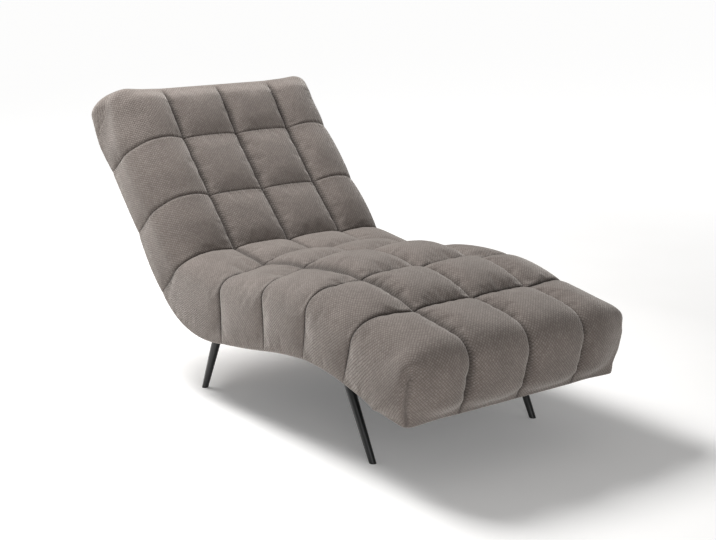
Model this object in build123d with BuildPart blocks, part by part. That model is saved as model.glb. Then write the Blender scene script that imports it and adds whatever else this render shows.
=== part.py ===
from build123d import *

import os
from math import cos, radians, sin, tan

# Upholstered relax lounger: a fixed S-shaped body on four raked steel legs, under a quilted cover.
# Millimetres. +Z is up, the foot end points to -Y, the head end to +Y and the sitter's left to +X.
# The origin lies on the floor, under the middle of the lounger.

# Side line of the quilted face, from the head end to the foot, as rows between its cross seams.
# A slope is taken towards the foot, and a row that rises that way has a positive one.
hip_setback = 287.5
hip_height = 427
row_lengths = (206, 225, 209, 235, 209, 221, 229, 213)
row_slopes = (-53, -47, -44, 0, 8, 2, -10, -16)
hip_seam = 3
front_length = 174
front_slope = -99

# Depth of the body under the seams and under the middle of each row.
seam_depths = (143, 150, 152, 176, 212, 209, 195, 182)
mid_depths = (160, 150, 172, 225, 212, 198, 182, 178)
hip_seam_lean = 21

# Quilting across the width.
columns = 4
column_width = 205
half_width = 394
side_swell = 8
end_draw_in = 24
end_shoulder = 0.7
hem_shoulder = 0.4
seam_crown = 10
pad_crown = 26
channel_lift = 10
shoulder_reach = 59
pad_shoulder_reach = 84
hem_draw_in = 6

# Height of the shoulders over the seam points, at the cross seams and in the middle of the rows.
seam_crests = (6, 8, 8, 4, 0, 0, 2, 4)
row_crests = (30, 30, 28, 16, 8, 10, 22, 28)

# Roll that closes the head end, from its lip to the first row: places along it, and shares of the
# drop of its edge and of the draw-in of its sides.
head_roll = 22
head_roll_drop = 16
head_roll_places = (0, 0.4, 1)
head_roll_drops = (1, 0.3, 0)
head_roll_draw_ins = (1, 0.6, 0.4)

# Foot row, from its top over the nose to the front: places along the fold line in the underside,
# and shares of the swell of its pads and of the draw-in of its sides.
toe_fold = 112
nose_run = 42
foot_fold_places = (0.62, 0.3, 0.22, 0.15, 0.07)
foot_swells = (1, 0.8, 0.8, 0.8, 0.6)
foot_draw_ins = (-0.17, 0, 0.25, 0.33, 0.5)

# Layers of the upholstery, from the sewn channels inwards.
cover_thickness = 12
side_wall = 42
head_wall = 12
fit_gap = 0.3
foam_thickness = 60
strap_thickness = 2.5
strap_width = 60
straps_per_row = 2

# Timber frame.
panel_thickness = 18
foot_board_thickness = 18
foot_board_lift = 10
rail_width = 60
rail_height = 34
leg_rail_width = 90
leg_rail_height = 60
rail_inset = 9
block_leg = 55
block_lift = 8
dowel_diameter = 10
dowel_length = 40
dowel_panel_depth = 12
dowel_spacing = 32

# Skins that close the back and the underside.
back_cover_thickness = 2
back_board_thickness = 3
dust_cover_thickness = 2
heel_setback = 281

# Legs.
front_leg_advance = 391
front_leg_inset = 51
front_leg_rake = 28.2
rear_leg_setback = 203
rear_leg_inset = 34
rear_leg_rake = -24
leg_top_diameter = 32
leg_foot_diameter = 18
glide_height = 4
plate_length = 80
plate_width = 50
plate_shift = 14
plate_thickness = 3
plate_clearance = 1
plate_corner = 6
stud_diameter = 8
stud_in_leg = 16
stud_in_rail = 24
screw_diameter = 4
screw_head_diameter = 7.6
screw_length = 22
countersink_taper = 45
screw_inset = 10
screws_per_row = 2


def heading(slope):
    """Direction along the side line, towards the foot."""
    return Vector(0, -cos(radians(slope)), sin(radians(slope)))


def inward(slope):
    """Direction from the quilted face into the body."""
    return Vector(0, -sin(radians(slope)), -cos(radians(slope)))


def mitre(first, second, first_depth, second_depth):
    """Shift of a corner when the line before it and the line after it move inwards."""
    overlap = first.dot(second)
    if first_depth == second_depth:
        return (first + second) * (first_depth / (1 + overlap))
    along_first = first_depth - second_depth * overlap
    along_second = second_depth - first_depth * overlap
    return (first * along_first + second * along_second) / (1 - overlap**2)


def inward_of(start, end):
    """Direction square to a run of points that goes towards the foot, on its lower side."""
    run = (end - start).normalized()
    return Vector(0, -run.Z, run.Y)


def raised(points, distance):
    """An underside line of points moved up into the body."""
    normals = [inward_of(a, b) for a, b in zip(points, points[1:])]
    normals = [normals[0], *normals, normals[-1]]
    return [p - mitre(a, b, distance, distance) for p, a, b in zip(points, normals, normals[1:])]


def flat(points):
    """Side-view points for a sketch on the YZ plane."""
    return [(p.Y, p.Z) for p in points]


# Places that follow from the sizes above.
inner_half_width = half_width - side_wall
front_leg_x = inner_half_width - front_leg_inset
rear_leg_x = inner_half_width - rear_leg_inset
front_leg_y = -front_leg_advance
rear_leg_y = rear_leg_setback

# Seam points of the side line: the hip crease first, then the back upwards and the seat forwards.
row_count = len(row_lengths)
hip = Vector(0, hip_setback, hip_height)
seam_points = [hip]
for length, slope in zip(reversed(row_lengths[:hip_seam]), reversed(row_slopes[:hip_seam])):
    seam_points.insert(0, seam_points[0] - heading(slope) * length)
for length, slope in zip(row_lengths[hip_seam:], row_slopes[hip_seam:]):
    seam_points.append(seam_points[-1] + heading(slope) * length)
nose = seam_points[-1]
front_foot = nose + heading(front_slope) * front_length

# Inward directions at the seams halve the angle between two rows. The hip seam leans to the back.
row_normals = [inward(slope) for slope in row_slopes]
seam_directions = [row_normals[0]]
for above, below in zip(row_normals, row_normals[1:]):
    seam_directions.append((above + below).normalized())
seam_directions[hip_seam] = seam_directions[hip_seam].rotate(Axis.X, hip_seam_lean)

# Points of the underside below each seam and below the middle of each row, head end first.
seam_feet = [p + d * t for p, d, t in zip(seam_points, seam_directions, seam_depths)]
mid_points = [(a + b) / 2 for a, b in zip(seam_points, seam_points[1:])]
mid_directions = [(a + b).normalized() for a, b in zip(seam_directions, seam_directions[1:])]
mid_directions.append((seam_directions[-1] + row_normals[-1]).normalized())
mid_feet = [p + d * t for p, d, t in zip(mid_points, mid_directions, mid_depths)]
underside_points = [p for pair in zip(seam_feet, mid_feet) for p in pair]
underside_points[0] += heading(row_slopes[0]) * (head_wall + fit_gap)
skin_depth = back_cover_thickness + back_board_thickness
underside_points.append(front_foot + inward(front_slope) * (cover_thickness + skin_depth))
underside = Spline(*underside_points)


def underside_plane(y, x=0, depth=0):
    """Plane on the underside at a place along the lounger, facing down."""
    low, high = 0, 1
    for _ in range(40):
        middle = (low + high) / 2
        if (underside @ middle).Y > y:
            low = middle
        else:
            high = middle
    run = underside % low
    down = Vector(0, -run.Z, run.Y)
    spot = underside @ low - down * depth
    return Plane(origin=(x, spot.Y, spot.Z), x_dir=(1, 0, 0), z_dir=down)


def layer(depth, front_depth):
    """Corners of the side line at a depth under the rows and behind the front, head end first."""
    normals = [row_normals[0], *row_normals, inward(front_slope)]
    depths = [depth] * (row_count + 1) + [front_depth]
    corners = []
    for i, corner in enumerate(seam_points):
        corners.append(corner + mitre(normals[i], normals[i + 1], depths[i], depths[i + 1]))
    corners[0] += heading(row_slopes[0]) * (head_wall + fit_gap)
    return corners + [front_foot + inward(front_slope) * front_depth]


def quilt_section(station):
    """Cross-section of the cover: channels at the sewn seams, rolled shoulders, drawn-in sides."""
    top, foot, swell, half, roll, crest = station
    depth = (top - foot).length
    outward = (top - foot) / depth
    plane = Plane(origin=top, x_dir=(1, 0, 0), z_dir=Vector(1, 0, 0).cross(outward))
    seams = [(i + 1 - columns / 2) * column_width for i in range(columns - 1)]
    valley = channel_lift * swell
    crown = seam_crown + (pad_crown - seam_crown - channel_lift) * swell
    reach = (shoulder_reach + (pad_shoulder_reach - shoulder_reach) * swell) * roll
    hem = half - hem_draw_in * (1 + swell)
    with BuildSketch(plane) as face:
        with BuildLine():
            for left, right in zip(seams, seams[1:]):
                SagittaArc((left, valley), (right, valley), crown)
            for side in (1, -1):
                ridge = (side * (half - reach), crest)
                pad = SagittaArc((side * seams[-1], valley), ridge, side * seam_crown)
                slope = pad % 1
                drop = reach * abs(slope.X) / (1 + slope.Y)
                shoulder = TangentArc(pad @ 1, (side * half, crest - drop), tangent=slope)
                TangentArc(shoulder @ 1, (side * hem, -depth), tangent=shoulder % 1)
            Line((-hem, -depth), (hem, -depth))
        make_face()
    return face.sketch


def export(piece, name):
    """Name a finished piece and write it out."""
    piece.part.label = name
    export_step(piece.part, f"parts/{name}.step")


os.makedirs("parts", exist_ok=True)

# Stations of the quilted rows: a seam, the swollen middle and the next seam.
cover_rows = []
for i in range(row_count - 1):
    start = (seam_points[i], seam_feet[i], 0, half_width, 1, seam_crests[i])
    middle = (mid_points[i], mid_feet[i], 1, half_width + side_swell, 1, row_crests[i])
    end = (seam_points[i + 1], seam_feet[i + 1], 0, half_width, 1, seam_crests[i + 1])
    cover_rows.append([[start, middle, end]])

# The head row starts below the top edge, and a narrowing roll closes it there.
head_drop = seam_directions[0] * head_roll_drop
head_roll_stations = []
for place, drop, draw_in in zip(head_roll_places, head_roll_drops, head_roll_draw_ins):
    run = heading(row_slopes[0]) * head_roll * place
    top = seam_points[0] + run + head_drop * drop
    foot = seam_feet[0] + run - head_drop * drop
    half = half_width - end_draw_in * draw_in
    head_roll_stations.append((top, foot, 0, half, end_shoulder, seam_crests[0]))
cover_rows[0][0][0] = head_roll_stations[-1]
cover_rows[0].insert(0, head_roll_stations)

# The foot row turns over a rounded nose and down the front, about a fold line in the underside.
toe = front_foot + inward(front_slope) * toe_fold
fold = seam_feet[-1] - toe
brow = nose - heading(row_slopes[-1]) * nose_run
chin = nose + heading(front_slope) * nose_run
nose_turn = radians(row_slopes[-1] - front_slope) / 2
nose_radius = nose_run / tan(nose_turn)
nose_middle = nose + mitre(row_normals[-1], inward(front_slope), 1, 1).normalized() * (
    nose_radius / cos(nose_turn) - nose_radius
)
foot_tops = (mid_points[-1], brow, nose_middle, chin, (chin + front_foot) / 2)
foot_rolls = (1, 1, 1, 1, end_shoulder)
foot_run = [cover_rows[-1][0][-1]]
for top, place, swell, draw_in, roll in zip(
    foot_tops, foot_fold_places, foot_swells, foot_draw_ins, foot_rolls
):
    half = half_width - end_draw_in * draw_in
    crest = seam_crests[-1] + (row_crests[-1] - seam_crests[-1]) * swell
    foot_run.append((top, toe + fold * place, swell, half, roll, crest))
foot_run.append((front_foot, toe, 0, half_width - end_draw_in, hem_shoulder, seam_crests[-1]))
cover_rows.append([foot_run[0:3], foot_run[2:5], foot_run[4:7]])

# Room inside the cover, open at the underside and the back.
inner_line = layer(cover_thickness, cover_thickness)
inner_line[0] = inner_line[0] - heading(row_slopes[0]) * fit_gap
below = [p + d * max(seam_depths) for p, d in zip(seam_feet, seam_directions)]
below[0] = inner_line[0] + seam_directions[0] * 2 * max(seam_depths)
below_front = inner_line[-1] + Vector(0, 0, -max(seam_depths))
with BuildPart() as core:
    with BuildSketch(Plane.YZ):
        with BuildLine():
            Polyline(*flat(inner_line), *flat([below_front]), *flat(reversed(below)), close=True)
        make_face()
    extrude(amount=inner_half_width, both=True)

# Quilted cover rows: fabric over wadding, sewn to each other along the cross seams.
for number, runs in enumerate(cover_rows, 1):
    with BuildPart() as cover_row:
        for stations in runs:
            loft(sections=[quilt_section(station) for station in stations])
        add(core.part, mode=Mode.SUBTRACT)
    export(cover_row, f"cover_row_{number}")

# Depths of the layers under the sewn channels.
foam_top = cover_thickness + fit_gap
foam_base = foam_top + foam_thickness
frame_top = foam_base + strap_thickness
board_back = foam_top + foot_board_thickness
inner_half = inner_half_width - fit_gap


def side_piece(points):
    """Solid of a side-view outline, across the lounger."""
    with BuildPart() as piece:
        with BuildSketch(Plane.YZ):
            with BuildLine():
                Polyline(*flat(points), close=True)
            make_face()
        extrude(amount=inner_half, both=True)
    return piece


# Foam of the back and of the seat, which meet under the hip crease.
upper = layer(foam_top, foam_top)[:-1]
lower = layer(foam_base, foam_top)[:-1]
back_foam = side_piece(upper[: hip_seam + 1] + lower[hip_seam::-1])
export(back_foam, "back_foam")
seat_foam = side_piece(upper[hip_seam:] + lower[: hip_seam - 1 : -1])
export(seat_foam, "seat_foam")

# Elastic webbing, stapled across from one side panel to the other, under the foam.
strap_seats = layer(foam_base, foam_top)
webbed_rows = {"back_webbing": range(hip_seam), "seat_webbing": range(hip_seam, row_count - 1)}
for name, rows in webbed_rows.items():
    with BuildPart() as webbing:
        for row in rows:
            start, end = strap_seats[row], strap_seats[row + 1]
            for i in range(straps_per_row):
                spot = start + (end - start) * (i + 0.5) / straps_per_row
                with BuildSketch(Plane(origin=spot, x_dir=(1, 0, 0), z_dir=row_normals[row])):
                    Rectangle(2 * inner_half, strap_width)
                extrude(amount=strap_thickness)
    export(webbing, name)

# Foot board behind the quilted front.
board_rise = heading(front_slope) * -foot_board_lift
board_front = layer(foam_base, foam_top)
board_rear = layer(foam_base, board_back)
board_ends = [board_front[-1] + board_rise, board_rear[-1] + board_rise]
foot_board = side_piece([board_front[-2], *board_ends, board_rear[-2]])
export(foot_board, "foot_board")

# Cross rails between the side panels: two in the back, one behind the hip, one under the seat and
# two stout ones that carry the legs. Each lies along the underside, a little inside the skins.
panel_inside = inner_half - panel_thickness
head_rail_y = (underside_points[0] + heading(row_slopes[0]) * rail_width).Y
rails = {
    "head_rail": (head_rail_y, rail_width, rail_height),
    "back_rail": (seam_feet[2].Y, rail_width, rail_height),
    "lumbar_rail": (mid_feet[2].Y, rail_width, rail_height),
    "rear_leg_rail": (rear_leg_y, leg_rail_width, leg_rail_height),
    "seat_rail": (mid_feet[4].Y, rail_width, rail_height),
    "front_leg_rail": (front_leg_y, leg_rail_width, leg_rail_height),
}
dowel_centres = []
for place, width, height in rails.values():
    middle = underside_plane(place, depth=rail_inset + height / 2)
    for side in (1, -1):
        dowel_centres.append(middle.origin + middle.y_dir * side * dowel_spacing / 2)

# Beech dowels in the ends of the rails.
with BuildPart() as rail_dowels:
    with BuildSketch(Plane.YZ.offset(panel_inside + dowel_panel_depth)):
        with Locations(*flat(dowel_centres)):
            Circle(dowel_diameter / 2)
    extrude(amount=-dowel_length)
    mirror(about=Plane.YZ)
export(rail_dowels, "rail_dowels")


class Leg:
    """Place of one leg: the plate's seat under its rail, the leg's axis and its studs and screws."""

    def __init__(self, name, x, y, rake):
        self.name = name
        side = 1 if x > 0 else -1
        self.seat = underside_plane(y, x - side * plate_shift, rail_inset)
        self.lip = self.seat.offset(plate_thickness)
        self.hole = side * plate_shift
        self.direction = Vector(0, -sin(radians(rake)), -cos(radians(rake)))
        self.top = self.lip.from_local_coords(Vector(self.hole, 0, 0))

    def along(self, distance):
        """Plane square to the leg's axis, at a distance below its top."""
        return Plane(origin=self.top + self.direction * distance, x_dir=(1, 0, 0), z_dir=self.direction)


legs = [
    Leg("front_left", front_leg_x, front_leg_y, front_leg_rake),
    Leg("front_right", -front_leg_x, front_leg_y, front_leg_rake),
    Leg("rear_left", rear_leg_x, rear_leg_y, rear_leg_rake),
    Leg("rear_right", -rear_leg_x, rear_leg_y, rear_leg_rake),
]
screw_grid = (plate_width - 2 * screw_inset, plate_length - 2 * screw_inset)

# Threaded studs that hold the legs to their plates and rails.
with BuildPart() as leg_studs:
    for leg in legs:
        with BuildSketch(leg.along(stud_in_leg)):
            Circle(stud_diameter / 2)
        extrude(amount=-stud_in_leg - stud_in_rail)
export(leg_studs, "leg_studs")

# Countersunk screws of the leg plates.
with BuildPart() as plate_screws:
    for leg in legs:
        with BuildSketch(leg.lip):
            with GridLocations(*screw_grid, screws_per_row, screws_per_row):
                Circle(screw_head_diameter / 2)
        extrude(amount=-(screw_head_diameter - screw_diameter) / 2, taper=countersink_taper)
        with BuildSketch(leg.lip):
            with GridLocations(*screw_grid, screws_per_row, screws_per_row):
                Circle(screw_diameter / 2)
        extrude(amount=-screw_length)
export(plate_screws, "plate_screws")

for name, (place, width, height) in rails.items():
    with BuildPart() as rail:
        with BuildSketch(underside_plane(place, depth=rail_inset)):
            Rectangle(2 * panel_inside, width)
        extrude(amount=-height)
        for fastener in (rail_dowels, leg_studs, plate_screws):
            add(fastener.part, mode=Mode.SUBTRACT)
    export(rail, name)

# Glue blocks in the corners between the leg rails and the side panels.
with BuildPart() as corner_blocks:
    for place, side in ((front_leg_y, -1), (rear_leg_y, 1)):
        corner = side * leg_rail_width / 2
        with BuildSketch(underside_plane(place, depth=rail_inset + block_lift)):
            with BuildLine():
                Polyline(
                    (panel_inside, corner),
                    (panel_inside - block_leg, corner),
                    (panel_inside, corner + side * block_leg),
                    close=True,
                )
            make_face()
            mirror(about=Plane.YZ)
        extrude(amount=-leg_rail_height + block_lift)
export(corner_blocks, "corner_blocks")

# Side panels, cut from board along the side line and the underside.
panel_top = layer(frame_top, board_back)
board_face = Plane(origin=panel_top[-1], z_dir=inward(front_slope))
for name, side in (("left", 1), ("right", -1)):
    with BuildPart() as side_panel:
        with BuildSketch(Plane.YZ.offset(side * panel_inside)):
            with BuildLine():
                bottom = Spline(*flat(raised(underside_points, skin_depth)))
                Polyline(bottom @ 0, *flat(layer(frame_top, foam_top)[:-1]), bottom @ 1)
            make_face()
        extrude(amount=side * panel_thickness)
        split(bisect_by=board_face)
        add(rail_dowels.part, mode=Mode.SUBTRACT)
    export(side_panel, f"side_panel_{name}")


def skin(outer_depth, inner_depth):
    """Sheet that follows the back and the underside between two depths."""
    with BuildPart() as sheet:
        with BuildSketch(Plane.YZ):
            with BuildLine():
                outer = Spline(*flat(raised(underside_points, outer_depth)))
                inner = Spline(*flat(raised(underside_points, inner_depth)))
                Line(outer @ 0, inner @ 0)
                Line(outer @ 1, inner @ 1)
            make_face()
        extrude(amount=inner_half, both=True)
    return sheet.part


# The back is closed by a thin board under plain cover fabric, and the underside by a dust cover
# with cut-outs for the leg plates.
heel = underside_plane(heel_setback)
heel_cut = Plane(origin=heel.origin, z_dir=heel.y_dir)
with BuildPart() as outer_back_cover:
    add(skin(0, back_cover_thickness))
    split(bisect_by=heel_cut, keep=Keep.BOTTOM)
export(outer_back_cover, "outer_back_cover")
with BuildPart() as outer_back_board:
    add(skin(back_cover_thickness, skin_depth))
    split(bisect_by=heel_cut, keep=Keep.BOTTOM)
export(outer_back_board, "outer_back_board")
with BuildPart() as dust_cover:
    add(skin(skin_depth - dust_cover_thickness, skin_depth))
    split(bisect_by=heel_cut)
    for leg in legs:
        with BuildSketch(leg.seat):
            RectangleRounded(plate_width, plate_length, plate_corner)
            offset(amount=plate_clearance)
        extrude(amount=rail_inset, both=True, mode=Mode.SUBTRACT)
        with BuildSketch(leg.along(0)):
            Circle(leg_top_diameter / 2 + plate_clearance)
        extrude(amount=2 * rail_inset, both=True, mode=Mode.SUBTRACT)
export(dust_cover, "dust_cover")

# Leg plates, legs and glides.
overrun = leg_top_diameter
for leg in legs:
    with BuildPart() as leg_plate:
        with BuildSketch(leg.seat):
            RectangleRounded(plate_width, plate_length, plate_corner)
        extrude(amount=plate_thickness)
        add(leg_studs.part, mode=Mode.SUBTRACT)
        add(plate_screws.part, mode=Mode.SUBTRACT)
    export(leg_plate, f"leg_plate_{leg.name}")

    leg_length = leg.top.Z / -leg.direction.Z
    with BuildPart() as taper:
        with BuildSketch(leg.along(-overrun)):
            Circle(leg_top_diameter / 2)
        with BuildSketch(leg.along(leg_length + overrun)):
            Circle(leg_foot_diameter / 2)
        loft()
        split(bisect_by=leg.lip)
    with BuildPart() as steel_leg:
        add(taper.part)
        split(bisect_by=Plane.XY.offset(glide_height))
        add(leg_studs.part, mode=Mode.SUBTRACT)
    export(steel_leg, f"leg_{leg.name}")
    with BuildPart() as glide:
        add(taper.part)
        split(bisect_by=Plane.XY)
        split(bisect_by=Plane.XY.offset(glide_height), keep=Keep.BOTTOM)
    export(glide, f"leg_glide_{leg.name}")
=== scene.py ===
from collections import namedtuple
from math import cos, radians, sin, tan

import bpy
import numpy as np
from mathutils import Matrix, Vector


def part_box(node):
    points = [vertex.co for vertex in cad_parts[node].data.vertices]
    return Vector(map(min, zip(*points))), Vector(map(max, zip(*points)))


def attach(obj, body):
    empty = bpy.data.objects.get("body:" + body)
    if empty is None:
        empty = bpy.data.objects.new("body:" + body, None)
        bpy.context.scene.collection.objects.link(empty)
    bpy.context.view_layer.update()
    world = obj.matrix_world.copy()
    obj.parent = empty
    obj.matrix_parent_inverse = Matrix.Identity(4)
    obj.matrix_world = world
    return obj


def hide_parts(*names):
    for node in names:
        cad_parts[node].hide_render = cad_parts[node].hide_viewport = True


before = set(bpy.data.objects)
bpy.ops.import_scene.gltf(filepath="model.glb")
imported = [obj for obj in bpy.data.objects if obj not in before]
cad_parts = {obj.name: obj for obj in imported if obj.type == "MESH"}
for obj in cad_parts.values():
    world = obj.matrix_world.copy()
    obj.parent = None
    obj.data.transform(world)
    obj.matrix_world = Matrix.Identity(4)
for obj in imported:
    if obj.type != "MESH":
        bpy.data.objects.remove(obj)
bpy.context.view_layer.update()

# Upholstered relax lounger in metres: +Z is up, the foot end points to -Y, the head end to +Y.
# The quilted cover is sewn along the side line of the body, so that line comes first. Lengths up to
# the meshes are in millimetres, and slopes in degrees.
MM = 0.001
tiny = 1e-9

# Side line from the head end to the foot, as rows between the cross seams.
hip = np.array([287.5, 427.0])
row_lengths = (206, 225, 209, 235, 209, 221, 229, 213)
row_slopes = (-53, -47, -44, 0, 8, 2, -10, -16)
hip_seam = 3
front_length = 174
front_slope = -99
seam_depths = (143, 150, 152, 176, 212, 209, 195, 182)
mid_depths = (160, 150, 172, 225, 212, 198, 182, 178)
hip_seam_lean = 21
row_count = len(row_lengths)

# Rounding of the two ends, and how far back in the underside their side walls fan out from.
nose_run = 42
toe_fold = 112
head_run = 14
head_fold = 90
head_lean = 14
head_bow = 10
head_hem_drop = 1.5

# Cross-section of the cover at its sewn seams.
column_width = 205
half_width = 394
shoulder_reach = 80
shoulder_drop = 66
shoulder_bend = 0.56
# Height of the shoulders over the seam line at the cross seams, from the head end to the nose.
shoulder_crests = (4, 18, 19, 4, -20, -20, -10, -4, -4)
hem_draw_in = -4
hem_drop = 7
hem_round = 9
inner_half_width = 352
sheet_half = inner_half_width + 0.5
end_draw_in = -2
hem_corner_draw_in = 15
hem_corner_droop = 3
head_draw_in = 17
head_flare = 9
head_end_dip = 3
cover_thickness = 5


def heading(slope):
    """Direction along the side line towards the foot, as (y, z)."""
    return np.array([-cos(radians(slope)), sin(radians(slope))])


def inward(slope):
    """Direction from the quilted face into the body."""
    return np.array([-sin(radians(slope)), -cos(radians(slope))])


def unit(vector):
    """Vector of length 1 in the same direction."""
    return vector / np.linalg.norm(vector)


def smooth_step(low, high, values):
    """Soft step from 0 at low to 1 at high, which may be the smaller of the two."""
    share = np.clip((np.asarray(values, float) - low) / (high - low), 0, 1)
    return share * share * (3 - 2 * share)


def distances(line):
    """Distance of each point of a line from its first one, along the line."""
    return np.concatenate([[0], np.cumsum(np.linalg.norm(np.diff(line, axis=0), axis=1))])


def points_at(places, lengths, line):
    """Points of a flat line at the given distances from its first one."""
    return np.stack([np.interp(places, lengths, line[:, i]) for i in (0, 1)], axis=-1)


# Seam points on the side line, and the points of the underside below the seams and the rows.
seam_points = [hip]
for length, slope in zip(reversed(row_lengths[:hip_seam]), reversed(row_slopes[:hip_seam])):
    seam_points.insert(0, seam_points[0] - heading(slope) * length)
for length, slope in zip(row_lengths[hip_seam:], row_slopes[hip_seam:]):
    seam_points.append(seam_points[-1] + heading(slope) * length)
nose = seam_points[-1]
front_foot = nose + heading(front_slope) * front_length
row_normals = [inward(slope) for slope in row_slopes]
seam_directions = [row_normals[0]]
for above, below in zip(row_normals, row_normals[1:]):
    seam_directions.append(unit(above + below))
lean = radians(hip_seam_lean)
hip_y, hip_z = seam_directions[hip_seam]
seam_directions[hip_seam] = np.array(
    [hip_y * cos(lean) - hip_z * sin(lean), hip_y * sin(lean) + hip_z * cos(lean)]
)
seam_feet = [p + d * t for p, d, t in zip(seam_points, seam_directions, seam_depths)]
mid_directions = [unit(a + b) for a, b in zip(seam_directions, seam_directions[1:])]
mid_directions.append(unit(seam_directions[-1] + row_normals[-1]))
mid_feet = [
    (a + b) / 2 + d * t
    for a, b, d, t in zip(seam_points, seam_points[1:], mid_directions, mid_depths)
]

path_step = 4
arc_points = 14


def rounded_path(corner, before, after, run, lead, tail):
    """Points and distances of a line that turns from one direction to another on an arc."""
    turn = np.arccos(np.clip(before @ after, -1, 1))
    radius = run / tan(turn / 2)
    bend_side = unit(after - before * (before @ after))
    centre = corner - before * run + bend_side * radius
    lead_steps = np.linspace(0, lead, max(2, int(lead / path_step)))
    points = [corner - before * (lead + run - s) for s in lead_steps]
    for angle in np.linspace(0, turn, arc_points)[1:]:
        points.append(centre - bend_side * radius * cos(angle) + before * radius * sin(angle))
    start = points[-1]
    tail_steps = np.linspace(0, tail, max(2, int(tail / path_step)))[1:]
    points += [start + after * s for s in tail_steps]
    points = np.array(points)
    return points, distances(points)


def quadratic(first, middle, last, share):
    """Point on the parabola through three points at shares 0, a half and 1."""
    return (
        first * (2 * share - 1) * (share - 1)
        + middle * 4 * share * (1 - share)
        + last * share * (2 * share - 1)
    )


# Places of the cross-sections, about one cell apart: the top and the foot of the side wall, the row
# and the share of it, how far the sides are drawn in, how round the shoulder is, and how far the
# wall has turned towards an end.
cell = 7
Station = namedtuple("Station", "top foot row share draw_in roll fan", defaults=(0.0, 1.0, 0.0))
stations = []

# Head row: from the back edge of the head end, over its rounded top edge and down to the first
# seam. Beyond the top edge its shares are below 0. The next values are lengths from the first seam
# as shares of the row's length, and losses of the shoulder's roundness.
head_fan_from = 0.35
head_draw_from = 0.1
head_draw_to = 0.95
head_roll_from = 0.4
head_roll_loss = 0.3
head_end_roll_to = 1.6
head_end_roll_loss = 0.4
head_lead = row_lengths[0] - head_run
head_tail = seam_depths[0] + head_hem_drop - head_run
head_up = -heading(row_slopes[0])
head_down = unit(row_normals[0] * (head_tail + head_run) + head_up * head_lean)
head_points, head_lengths = rounded_path(
    seam_points[0], head_up, head_down, head_run, head_lead, head_tail
)
head_total = head_lengths[-1]
end_share = np.clip((head_lengths - row_lengths[0]) / head_tail, 0, 1)
head_points += head_up * (head_bow * np.sin(np.pi * end_share))[:, None]
hinge_share = head_fold / (2 * np.linalg.norm(mid_feet[0] - seam_feet[0]))
head_ease = head_total / (row_lengths[0] * (1 - hinge_share))
for length in np.linspace(head_total, 0, int(head_total / cell) + 1):
    top = points_at(length, head_lengths, head_points)
    drawn = 1 - (1 - length / head_total) ** head_ease
    foot = quadratic(seam_feet[0], mid_feet[0], seam_feet[1], 1 - (1 - hinge_share) * drawn)
    fan = smooth_step(head_fan_from * row_lengths[0], head_total, length)
    foot += unit(foot - top) * (hem_drop + (head_hem_drop - hem_drop) * fan)
    past_seam = length / row_lengths[0]
    draw_in = head_draw_in * smooth_step(head_draw_from, head_draw_to, past_seam)
    draw_in -= (head_draw_in + head_flare) * smooth_step(
        head_draw_to, head_total / row_lengths[0], past_seam
    )
    roll = 1 - head_roll_loss * smooth_step(head_roll_from, head_draw_to, past_seam)
    roll -= head_end_roll_loss * smooth_step(1, head_end_roll_to, past_seam)
    stations.append(Station(top, foot, 0, 1 - past_seam, draw_in, roll, fan))
for row in range(1, row_count - 1):
    for share in np.linspace(0, 1, int(row_lengths[row] / cell) + 1)[1:]:
        top = seam_points[row] * (1 - share) + seam_points[row + 1] * share
        foot = quadratic(seam_feet[row], mid_feet[row], seam_feet[row + 1], share)
        stations.append(Station(top, foot + unit(foot - top) * hem_drop, row, share))

# Foot row: over the nose and down the front to its hem. Its side walls end on the line from the
# heel to the toe, at fold_shares of the way back from the toe.
fold_places = (0, 0.3, 0.48, 0.6, 0.7, 0.85, 1)
fold_shares = (1, 0.62, 0.32, 0.2, 0.14, 0.06, 0)
end_draw_from = 0.45
corner_draw_from = 0.78
nose_roll_from = 0.35
nose_roll_to = 0.62
nose_roll_loss = 0.68
toe_fan_from = 0.7
toe = front_foot + inward(front_slope) * toe_fold + heading(front_slope) * hem_drop
foot_heel = seam_feet[-1] + seam_directions[-1] * hem_drop
foot_lead = row_lengths[-1] - nose_run
foot_tail = front_length + hem_drop - nose_run
foot_points, foot_lengths = rounded_path(
    nose, heading(row_slopes[-1]), heading(front_slope), nose_run, foot_lead, foot_tail
)
foot_total = foot_lengths[-1]
for length in np.linspace(0, foot_total, int(foot_total / cell) + 1)[1:]:
    share = length / foot_total
    top = points_at(length, foot_lengths, foot_points)
    foot = toe + (foot_heel - toe) * np.interp(share, fold_places, fold_shares)
    draw_in = end_draw_in * smooth_step(end_draw_from, 1, share)
    draw_in += hem_corner_draw_in * smooth_step(corner_draw_from, 1, share)
    roll = 1 - nose_roll_loss * smooth_step(nose_roll_from, nose_roll_to, share)
    fan = smooth_step(toe_fan_from, 1, share)
    stations.append(Station(top, foot, row_count - 1, share, draw_in, roll, fan))


def bezier(points, count):
    """Points along a Bezier curve of any degree."""
    share = np.linspace(0, 1, count)[:, None]
    points = [np.asarray(p, float)[None, :] for p in points]
    while len(points) > 1:
        points = [a * (1 - share) + b * share for a, b in zip(points, points[1:])]
    return points[0]


def resampled(line, count):
    """Line of points at even distances."""
    lengths = distances(line)
    return points_at(np.linspace(0, lengths[-1], count), lengths, line)


column_cells = 30
side_cells = 50
pad_points, shoulder_points, wall_points, hem_points = 12, 20, 16, 8


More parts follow.
